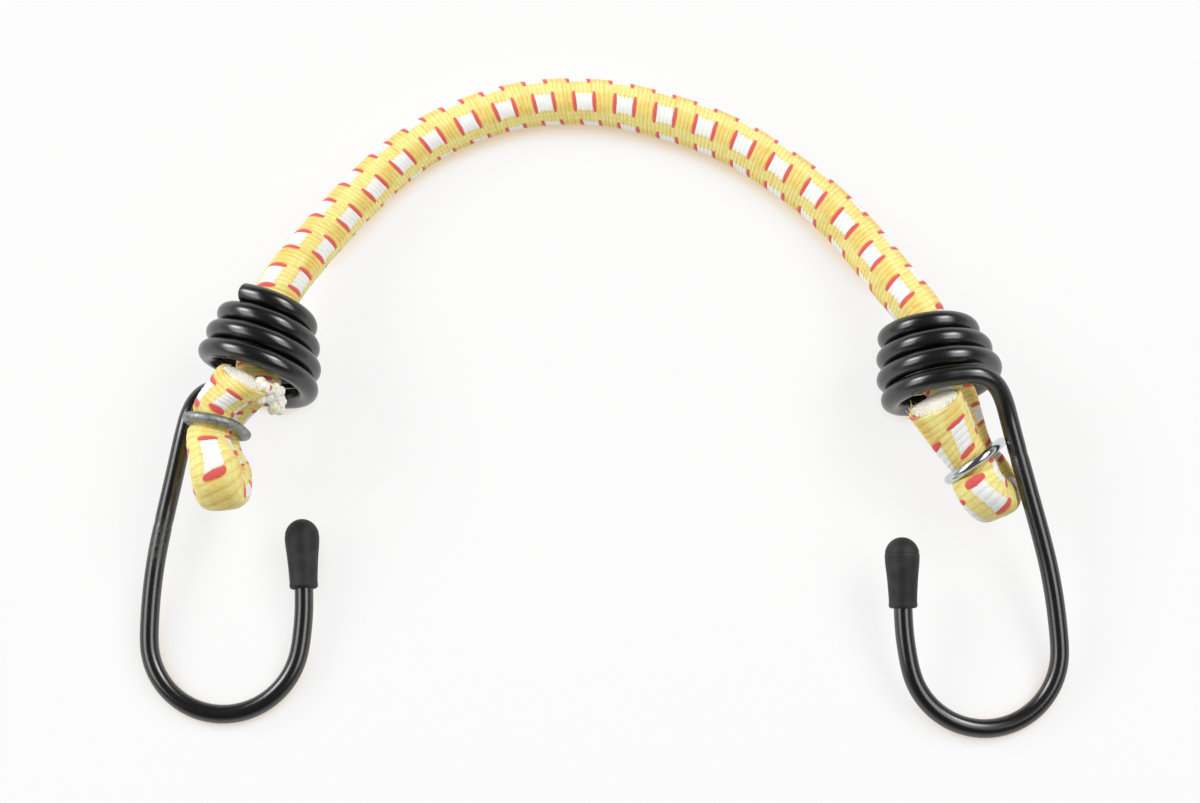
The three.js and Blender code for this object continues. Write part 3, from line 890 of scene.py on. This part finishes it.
def braided_tube(name, rows, repeats, turns, shear, material, cut_depth=0.0, seed=0):
    """The sheath along its sections, with its yarns in relief and its braid map.

    Each row has a middle, two ways whose lengths carry the squeeze, and how boxy the section is.
    The repeats and turns say how the braid lies at each row, and the shear, in repeats a radian, how
    far it is wrung askew. The columns are drawn apart on the upper side. A cut depth leaves the last
    end open as a sleeve, with a ragged rim.
    """
    cord = settings().cord
    shares = np.arange(CORD_SIDES + 1) / CORD_SIDES
    drawn = np.sin(math.tau * shares + SPREAD_TURN) - math.sin(SPREAD_TURN)
    columns = cord.columns * shares - cord.spread * drawn
    step = np.arange(CORD_SIDES)
    away = math.tau * np.where(step > CORD_SIDES // 2, step - CORD_SIDES, step) / CORD_SIDES
    along = repeats[:, None] + shear[:, None] * away
    angle = turns[:, None] + math.tau * step[None] / CORD_SIDES
    power = 2 + rows[:, None, 9]
    boxed = (np.abs(np.cos(angle)) ** power + np.abs(np.sin(angle)) ** power) ** (-1 / power)
    radius = braid_radius(along, columns[:-1]) * boxed
    middle, across, other = rows[:, None, :3], rows[:, None, 3:6], rows[:, None, 6:9]
    spokes = np.cos(angle)[..., None] * across + np.sin(angle)[..., None] * other
    rings = middle + radius[..., None] * spokes
    if cut_depth:
        rings = cut_open(rings, rows[-1, :3], way_out(rows), cut_depth, seed)
        added = len(rings) - len(along)
        along = np.vstack([along] + [along[-1:] + RIM_REPEAT] * added)
    return sheath_mesh(name, rings, along, columns, material)


def node_group(name, inputs):
    """An empty Geometry Nodes tree with named inputs, and its graph."""
    tree = bpy.data.node_groups.new(name, "GeometryNodeTree")
    tree.interface.new_socket("Geometry", in_out="OUTPUT", socket_type="NodeSocketGeometry")
    tree.interface.new_socket("Geometry", in_out="INPUT", socket_type="NodeSocketGeometry")
    for key, kind in inputs.items():
        tree.interface.new_socket(key, in_out="INPUT", socket_type=kind)
    graph = Graph(tree)
    return tree, graph, graph.node("NodeGroupInput")


def close_group(graph, shape, material):
    """Ends a tree in smooth shading, Realize Instances and Set Material."""
    smooth = graph.node("GeometryNodeSetShadeSmooth", None, {0: shape})
    real = graph.node("GeometryNodeRealizeInstances", None, {0: smooth})
    done = graph.node("GeometryNodeSetMaterial", None, {"Geometry": real, "Material": material})
    graph.node("NodeGroupOutput", None, {0: done})


def wire_group():
    """A round wire along a line of points, scaled by the girth of each point."""
    tree, graph, given = node_group("wire_along_line", {
        "Wire Radius": "NodeSocketFloat", "Sides": "NodeSocketInt", "Finish": "NodeSocketMaterial"})
    line = graph.node("GeometryNodeMeshToCurve", None, {0: given})
    girth = graph.node("GeometryNodeInputNamedAttribute", {"data_type": "FLOAT"}, {"Name": "girth"})
    ring = graph.node("GeometryNodeCurvePrimitiveCircle", None,
                      {"Resolution": given.of("Sides"), "Radius": given.of("Wire Radius")})
    wire = graph.node("GeometryNodeCurveToMesh", None,
                      {"Curve": line, "Profile Curve": ring, "Scale": girth, "Fill Caps": True})
    close_group(graph, wire, given.of("Finish"))
    return tree


def lump_group():
    """Round crumbs on points, grown together into one lump."""
    tree, graph, given = node_group("grown_together", {
        "Grain": "NodeSocketFloat", "Crease": "NodeSocketFloat", "Crease Scale": "NodeSocketFloat",
        "Finish": "NodeSocketMaterial"})
    points = graph.node("GeometryNodeMeshToPoints", None, {"Mesh": given})
    ball = graph.node("GeometryNodeMeshIcoSphere", None, {"Radius": 1.0, "Subdivisions": 3})
    size = graph.node("GeometryNodeInputNamedAttribute", {"data_type": "FLOAT"}, {"Name": "size"})
    crumbs = graph.node("GeometryNodeInstanceOnPoints", None,
                        {"Points": points, "Instance": ball, "Scale": size})
    real = graph.node("GeometryNodeRealizeInstances", None, {0: crumbs})
    grain = given.of("Grain")
    volume = graph.node("GeometryNodeMeshToVolume", {"resolution_mode": "VOXEL_SIZE"},
                        {"Mesh": real, "Voxel Size": grain, "Interior Band Width": 0.0006})
    skin = graph.node("GeometryNodeVolumeToMesh", {"resolution_mode": "VOXEL_SIZE"},
                      {"Volume": volume, "Voxel Size": grain, "Threshold": 0.1})
    place = graph.node("GeometryNodeInputPosition")
    crease = graph.noise(place, given.of("Crease Scale"), 3.0, 0.6) - 0.5
    away = graph.node("ShaderNodeVectorMath", {"operation": "SCALE"},
                      {0: graph.node("GeometryNodeInputNormal"), "Scale": crease * given.of("Crease")})
    skin = graph.node("GeometryNodeSetPosition", None, {"Geometry": skin, "Offset": away})
    close_group(graph, skin, given.of("Finish"))
    return tree


def apply_group(piece, tree, **values):
    """Runs a tree on a piece, keeps the result as its plain mesh and removes the modifier."""
    modifier = piece.modifiers.new(tree.name, "NODES")
    modifier.node_group = tree
    sockets = {s.name: s.identifier for s in tree.interface.items_tree if s.in_out == "INPUT"}
    for key, value in values.items():
        modifier[sockets[key.replace("_", " ").title()]] = value
    graph = bpy.context.evaluated_depsgraph_get()
    mesh = bpy.data.meshes.new_from_object(piece.evaluated_get(graph))
    piece.modifiers.remove(modifier)
    piece.data = mesh
    if not len(mesh.polygons):
        raise RuntimeError(f"{piece.name}: {tree.name} made nothing")
    return piece


def wires_along(piece, diameter, sides, material):
    """The lines of a piece made wires."""
    tree = bpy.data.node_groups.get("wire_along_line") or wire_group()
    return apply_group(piece, tree, wire_radius=diameter / 2, sides=sides, finish=material)


def wire_piece(name, line, diameter, sides, material, rounding, girth=None, wear=None):
    """A wire along a line, with its ends rounded off. Girth and wear follow the line's points."""
    far = run_length(line)
    steps = np.array((0.0, 0.12, 0.3, 0.6, 1.0)) * rounding
    between = np.linspace(rounding, far[-1] - rounding, len(line))
    at = np.unique(np.concatenate([steps, between, far[-1] - steps]))
    points = np.stack([np.interp(at, far, column) for column in line.T], 1)
    edge = np.clip(np.minimum(at, far[-1] - at) / rounding, 0, 1)
    ends = 1 - rounding / (diameter / 2) * (1 - np.sqrt(1 - (1 - edge) ** 2))
    full = ends if girth is None else ends * np.interp(at, far, girth)
    worn = np.zeros(len(at)) if wear is None else np.interp(at, far, wear)
    piece = make_lines(name, [points], girth=full, wear=worn)
    return wires_along(piece, diameter, sides, material)


# Operators

class BUNGEE_OT_stage(bpy.types.Operator):
    """Make the table top, the soft lamps, the room's light and the camera"""
    bl_idname = "bungee.stage"
    bl_label = "Stage"

    def execute(self, context):
        stage = settings().stage
        scene = context.scene
        scene.view_settings.view_transform = "Standard"
        aim = np.array((ORIGIN[0], ORIGIN[1], 0.0))
        camera = bpy.data.objects.new("camera", bpy.data.cameras.new("camera"))
        camera.data.lens = stage.lens
        camera.data.sensor_width = stage.sensor
        camera.data.clip_start = 0.01
        back = np.array((0, -math.cos(stage.elevation), math.sin(stage.elevation)))
        camera.location = aim + stage.distance * back
        camera.rotation_euler = (math.pi / 2 - stage.elevation, 0.0, 0.0)
        scene.collection.objects.link(camera)
        scene.camera = camera
        for name, (where, length, width, share) in LAMPS.items():
            lamp = bpy.data.lights.new(name, "AREA")
            lamp.shape = "RECTANGLE"
            lamp.size, lamp.size_y = length, width
            lamp.energy = stage.lamp * share
            holder = bpy.data.objects.new(name, lamp)
            holder.location = aim + np.array(where)
            holder.rotation_euler = (Vector(aim) - holder.location).to_track_quat("-Z", "Y").to_euler()
            scene.collection.objects.link(holder)
        self.table_top(stage, aim)
        self.room(scene, stage)
        return {"FINISHED"}

    def table_top(self, stage, aim):
        """A pale table that the camera sees nearly white, with a warm tan shade painted into its glow close
        to the object.
        """
        material, graph, link = new_finish("table_white", {"Roughness": 0.9, "Specular IOR Level": 0.1})
        grain = graph.noise(graph.place(), 40.0, 2.0)
        link(base_color=graph.blend(grain * 0.15, stage.floor, shade("F6F6F4")))
        output = graph.tree.nodes["output"].inputs["Surface"]
        lit = Value(graph, output.links[0].from_socket)
        ray = graph.node("ShaderNodeLightPath")
        seen = (ray + ray.of("Is Glossy Ray") + ray.of("Is Transmission Ray")).least(1.0)
        clear = graph.node("ShaderNodeAmbientOcclusion", {"samples": 8}, {"Distance": 0.005}, out="AO")
        # Painted shade: where the object hems the table in, its glow turns from white to a warm tan
        painted_contact_tan, white = (0.90, 0.64, 0.38), (0.96, 0.96, 0.96)
        pale = graph.blend(clear.ease(0.2, 0.75), painted_contact_tan, white)
        glow = graph.node("ShaderNodeEmission", None, {"Color": pale, "Strength": 1.0})
        share = seen * (clear.ease(0.2, 0.8) * 0.4 + 0.6) * stage.glow
        mixed = graph.node("ShaderNodeMixShader", None, {0: share, 1: lit, 2: glow})
        graph.tree.links.new(mixed.socket, output)
        near, far = aim[1] - FLOOR_HALF, aim[1] + FLOOR_HALF
        corners = [(-FLOOR_HALF, near, 0), (FLOOR_HALF, near, 0), (FLOOR_HALF, far, 0), (-FLOOR_HALF, far, 0)]
        floor = make_piece("table_top", corners, [(0, 1, 2, 3)], material)
        floor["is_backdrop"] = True

    def room(self, scene, stage):
        """Bright low walls, a little brighter in front, under a dim ceiling."""
        world = bpy.data.worlds.new("room")
        world.use_nodes = True
        world.node_tree.nodes.clear()
        graph = Graph(world.node_tree)
        way = graph.node("ShaderNodeTexCoord", None, None, out="Generated")
        parts = graph.node("ShaderNodeSeparateXYZ", None, {0: way})
        walls, ceiling = parts.of("Z").ease(0.45, 0.15), 0.1
        grey = walls * (0.9 - parts.of("Y") * 0.1) * stage.fill + ceiling
        colour = graph.node("ShaderNodeCombineXYZ", None, {0: grey, 1: grey, 2: grey})
        light = graph.node("ShaderNodeBackground", None, {"Color": colour, "Strength": 1.0})
        graph.node("ShaderNodeOutputWorld", None, {"Surface": light})
        scene.world = world


class BUNGEE_OT_cord(bpy.types.Operator):
    """Make the free stretch of braided cord between the two coils"""
    bl_idname = "bungee.cord"
    bl_label = "Free cord"

    def execute(self, context):
        cord = settings().cord
        line = even_rows(cord_line(), CORD_ROWS)
        far = run_length(line)
        tangent = unit(np.gradient(line, axis=0))
        upper = unit(UP - tangent * tangent[:, 2:])
        inner = np.cross(tangent, upper)
        pitch = np.interp(far * 1000, *zip(*REPEATS))
        repeats = np.cumsum(1000 * np.gradient(far) / pitch)
        repeats -= np.interp(MIDDLE_WINDOW, far * 1000, repeats)
        turns = softened(np.radians(np.interp(far * 1000, *zip(*TURNS))), CORD_SOFTENING)
        unsheared = np.zeros(len(line))
        rows = np.hstack([line, upper, inner, np.zeros((len(line), 1))])
        piece = braided_tube("cord", rows, repeats, turns, unsheared, braid_finish())
        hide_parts("cord_sheath", *[f"rubber_strand_{i}" for i in range(1, 8)])
        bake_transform(piece)
        tuple(line[np.argmin(abs(far - 0.008))])
        float(far[-1])
        cord.diameter
        [tuple(p) for p in line[::25]]
        return {"FINISHED"}


class BUNGEE_OT_folds(bpy.types.Operator):
    """Make the two folded cord ends, from inside the coil to the cut"""
    bl_idname = "bungee.folds"
    bl_label = "Folded ends"

    def execute(self, context):
        material = bpy.data.materials["braided_yarn"]
        for number, (side, end) in enumerate(ENDS.items()):
            rows = fold_line(end)
            far, marks = run_length(rows) * 1000, np.array(end["braid"]).T
            repeats = softened(np.interp(far, marks[0], marks[1]), REPEAT_SOFTENING)
            turns = softened(np.radians(np.interp(far, marks[0], marks[2])), FOLD_SOFTENING)
            shear = softened(np.interp(far, marks[0], marks[3]), FOLD_SOFTENING)
            piece = braided_tube(f"{side}_fold", rows, repeats, turns, shear, material,
                                 cut_depth=settings().fold.cut_depth, seed=number)
            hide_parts(f"{side}_fold_sheath")
            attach(piece, end["body"])
        return {"FINISHED"}


class BUNGEE_OT_cores(bpy.types.Operator):
    """Make the rubber threads that show at the two cuts"""
    bl_idname = "bungee.cores"
    bl_label = "Cut rubber"

    def execute(self, context):
        material, size = rubber_finish(), settings().cord.rubber
        for number, (side, end) in enumerate(ENDS.items()):
            lines, girth = self.threads(end, np.random.default_rng(10 + number))
            piece = make_lines(f"{side}_core", lines, girth=girth)
            wires_along(piece, size, THREAD_SIDES, material)
            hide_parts(*[f"{side}_fold_strand_{i}" for i in range(1, 8)])
            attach(piece, end["body"])
        return {"FINISHED"}

    def threads(self, end, random):
        """Lines of closely packed threads that fill the cut and stand a little out of it."""
        cord, fold = settings().cord, settings().fold
        middle, across, other, ahead = cut_section(end)
        half = np.array((np.linalg.norm(across), np.linalg.norm(other))) * cord.core / 2 - 0.4 * cord.rubber
        pitch = THREAD_PITCH * cord.rubber
        least, more = THREAD_TOPS
        stray_aside, stray_up = THREAD_STRAY
        numbers = range(-12, 13)
        lines, girth = [], []
        for row, step in itertools.product(numbers, numbers):
            spot = np.array((step + 0.5 * (row % 2), row * math.sqrt(0.75))) * pitch
            reach = np.linalg.norm(spot / half)
            if reach > 1:
                continue
            spot = spot + random.normal(0, stray_aside, 2)
            top = least + more * (1 - reach ** 2) + random.uniform(-stray_up, stray_up)
            aside = spot[0] * unit(across) + spot[1] * unit(other)
            heights = np.array((-0.9 * fold.cut_depth, 0.0, top - 0.00005, top - 0.00001, top))
            flare = THREAD_FLARE * np.linspace(0, 1, len(heights))[:, None] * aside
            lines.append(middle + aside + heights[:, None] * ahead + flare)
            girth += [1.0, 1.0, 1.0, 0.97, 0.9]
        return lines, girth


class BUNGEE_OT_fray(bpy.types.Operator):
    """Make the loose fibres at both cuts and the crumpled yarn beside the left one"""
    bl_idname = "bungee.fray"
    bl_label = "Frayed ends"

    def execute(self, context):
        material = fray_finish()
        for number, (side, end) in enumerate(ENDS.items()):
            lines, girth, tint = self.fibres(end, np.random.default_rng(20 + number))
            piece = make_lines(f"{side}_fray", lines, girth=girth, tint=tint)
            wires_along(piece, settings().cord.fibre, FIBRE_SIDES, material)
            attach(piece, end["body"])
        random = np.random.default_rng(31)
        line = even_rows(smooth_rows(TUFT, WIRE_STEPS), CRUMBS)
        spots = line + random.normal(0, CRUMB_STRAY, line.shape)
        sizes = random.uniform(*CRUMB_SIZES, len(spots))
        tuft = make_lines("left_tuft", [spot[None] for spot in spots], size=sizes)
        apply_group(tuft, lump_group(), grain=0.0001, crease=0.0006, crease_scale=1300.0,
                    finish=tuft_finish())
        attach(tuft, ENDS["left"]["body"])
        return {"FINISHED"}

    def fibres(self, end, random):
        """Lines of loose fibres. Each group has a place round the cut, a spread, a count and a length."""
        middle, across, other, ahead = cut_section(end)
        radius = settings().cord.diameter / 2
        thinning = [1.0, 1.0, 1.0, 0.95, 0.9, 0.8, 0.6]
        t = np.linspace(0, 1, len(thinning))[:, None]
        lines, girth, tint = [], [], []
        for place_round, spread, count, length in end["fray"]:
            for _ in range(count):
                turn = math.radians(place_round + random.uniform(-spread, spread))
                out = math.cos(turn) * across + math.sin(turn) * other
                root = middle + out * radius * random.uniform(*FIBRE_RING) - FIBRE_ROOT * ahead
                way = unit(ahead + 0.5 * unit(out) * random.uniform(-0.3, 1.2) + random.normal(0, 0.3, 3))
                reach = length * random.uniform(*FIBRE_REACH)
                lines.append(root + reach * (t * way + 0.4 * t ** 2 * random.normal(0, 0.6, 3)))
                girth += thinning
                tint += [float(random.choice(FIBRE_TINTS))] * len(thinning)
        return lines, girth, tint


class BUNGEE_OT_hooks(bpy.types.Operator):
    """Make the two coated wire hooks"""
    bl_idname = "bungee.hooks"
    bl_label = "Wire hooks"

    def execute(self, context):
        material, hook = coat_finish(), settings().hook
        for side, end in ENDS.items():
            line, coil = hook_line(end), coil_points(end)
            far = run_length(line)
            shank = far - far[(len(coil) + CORNER_POINTS) * WIRE_STEPS]
            kept = far > hook.trim
            line, far, shank = line[kept], far[kept], shank[kept]
            in_coil = softened((far < run_length(coil)[-1]).astype(float), COIL_SOFTENING)
            first, last = end["scuff"]
            wear = softened(((shank > first) & (shank < last)).astype(float), SCUFF_SOFTENING)
            nick = NICK_DEPTH * np.exp(-((shank - first) / NICK_LENGTH) ** 2)
            piece = wire_piece(f"{side}_hook_wire", line, hook.wire, WIRE_SIDES, material, WIRE_ROUNDING,
                               girth=1 + hook.coil_coat * in_coil - nick, wear=wear)
            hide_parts(f"{side}_hook")
            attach(piece, end["hook_body"])
        return {"FINISHED"}


class BUNGEE_OT_rings(bpy.types.Operator):
    """Make the two crimp rings, dull zinc on the left and bright steel on the right"""
    bl_idname = "bungee.rings"
    bl_label = "Crimp rings"

    def execute(self, context):
        colours, wire = settings().finish, settings().small.ring_wire
        finishes = {"left": ring_finish("dull_zinc", tuple(colours.zinc), 0.42, 1.0),
                    "right": ring_finish("bright_steel", tuple(colours.chrome), 0.1, 0.25)}
        for side, end in ENDS.items():
            piece = wire_piece(f"{side}_ring", ring_line(end), wire, RING_SIDES, finishes[side],
                               RING_ROUNDING)
            end["ring_slot"]
            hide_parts(f"{side}_crimp_ring")
            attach(piece, end["body"])
        return {"FINISHED"}


class BUNGEE_OT_caps(bpy.types.Operator):
    """Make the two moulded tip caps"""
    bl_idname = "bungee.caps"
    bl_label = "Tip caps"

    def execute(self, context):
        material, small = cap_finish(), settings().small
        points, faces = self.turned(self.outline())
        for side, end in ENDS.items():
            tip = hook_points(end)[-2:]
            ahead = unit(tip[1] - tip[0])
            foot = tip[1] + ahead * (small.cap_clearance - (small.cap_length - small.cap_wall))
            across = unit(np.cross(ahead, UP))
            ways = np.stack([across, np.cross(ahead, across), ahead])
            piece = make_piece(f"{side}_cap", foot + points @ ways, faces, material)
            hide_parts(f"{side}_tip_cap")
            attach(piece, end["hook_body"])
        return {"FINISHED"}

    def outline(self):
        """Radius and height, from the bore's floor out over the rim to the dome's top."""
        small, wire = settings().small, settings().hook.wire
        bore, depth = wire / 2 + small.cap_clearance, small.cap_length - small.cap_wall
        rim, widest, tall, lip = small.cap_mouth / 2, small.cap_diameter / 2, small.cap_length, small.cap_lip
        shoulder = CAP_SHOULDER * tall
        bead = [(rim - lip * (1 - math.sin(a)), lip * (1 - math.cos(a)))
                for a in np.linspace(0.2, math.pi / 2, 5)]
        flare = [(rim + wider * (widest - rim), up * tall) for wider, up in CAP_FLARE]
        side = bead + [(rim - CAP_NECK, 2.2 * lip)] + flare + [(widest, shoulder)]
        dome = [(widest * math.cos(a), shoulder + (tall - shoulder) * math.sin(a))
                for a in np.linspace(0, math.pi / 2, 9)[1:-1]]
        curve = smooth_rows([(r, h, 0.0) for r, h in side + dome] + [(0.0, tall, 0.0)], 6)[:, :2]
        seam = shoulder + SEAM_RISE
        curve[:, 0] -= SEAM_DEPTH * np.exp(-((curve[:, 1] - seam) / SEAM_WIDTH) ** 2)
        aside, up = CAP_CHAMFER
        start = [(0.0, depth), (bore, depth), (bore, up), (bore + aside, 0.0)]
        return np.vstack([start, curve])

    def turned(self, outline):
        """The outline turned about its axis, as points and faces with one point at each pole."""
        sides, body = CAP_SIDES, outline[1:-1]
        a = math.tau * np.arange(sides) / sides
        heights = np.repeat(body[:, 1:], sides, 1)
        rings = np.stack([body[:, :1] * np.cos(a), body[:, :1] * np.sin(a), heights], -1)
        points = np.vstack([rings.reshape(-1, 3), (0, 0, outline[0, 1]), (0, 0, outline[-1, 1])])
        faces, last = [], (len(body) - 1) * sides
        for j in range(sides):
            k = (j + 1) % sides
            faces.append((j, k, len(points) - 2))
            faces += [(i + j, i + k, i + sides + k, i + sides + j) for i in range(0, last, sides)]
            faces.append((last + j, last + k, len(points) - 1))
        return points, faces


class BUNGEE_PT_panel(bpy.types.Panel):
    """Lists the pieces of the bungee cord"""
    bl_idname = "BUNGEE_PT_panel"
    bl_label = "Bungee cord"
    bl_space_type = "VIEW_3D"
    bl_region_type = "UI"
    bl_category = "Bungee"

    def draw(self, context):
        for operator in OPERATORS:
            self.layout.operator(operator.bl_idname)
        for group in BungeeSettings.__annotations__:
            values = getattr(context.scene.bungee, group)
            box = self.layout.box()
            for key in values.__annotations__:
                box.prop(values, key)


OPERATORS = (BUNGEE_OT_stage, BUNGEE_OT_cord, BUNGEE_OT_folds, BUNGEE_OT_cores, BUNGEE_OT_fray,
             BUNGEE_OT_hooks, BUNGEE_OT_rings, BUNGEE_OT_caps)
CLASSES = (CordSizes, FoldSizes, HookSizes, SmallPartSizes, FinishColours, StageSettings, BungeeSettings,
           *OPERATORS, BUNGEE_PT_panel)


def register():
    for item in CLASSES:
        bpy.utils.register_class(item)
    bpy.types.Scene.bungee = bpy.props.PointerProperty(type=BungeeSettings)


def unregister():
    del bpy.types.Scene.bungee
    for item in reversed(CLASSES):
        bpy.utils.unregister_class(item)


def main():
    register()
    for operator in OPERATORS:
        group, name = operator.bl_idname.split(".")
        getattr(getattr(bpy.ops, group), name)()
    {"cad": CAD_BOX, "visual": [list(corner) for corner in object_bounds()]}


if __name__ == "__main__":
    main()
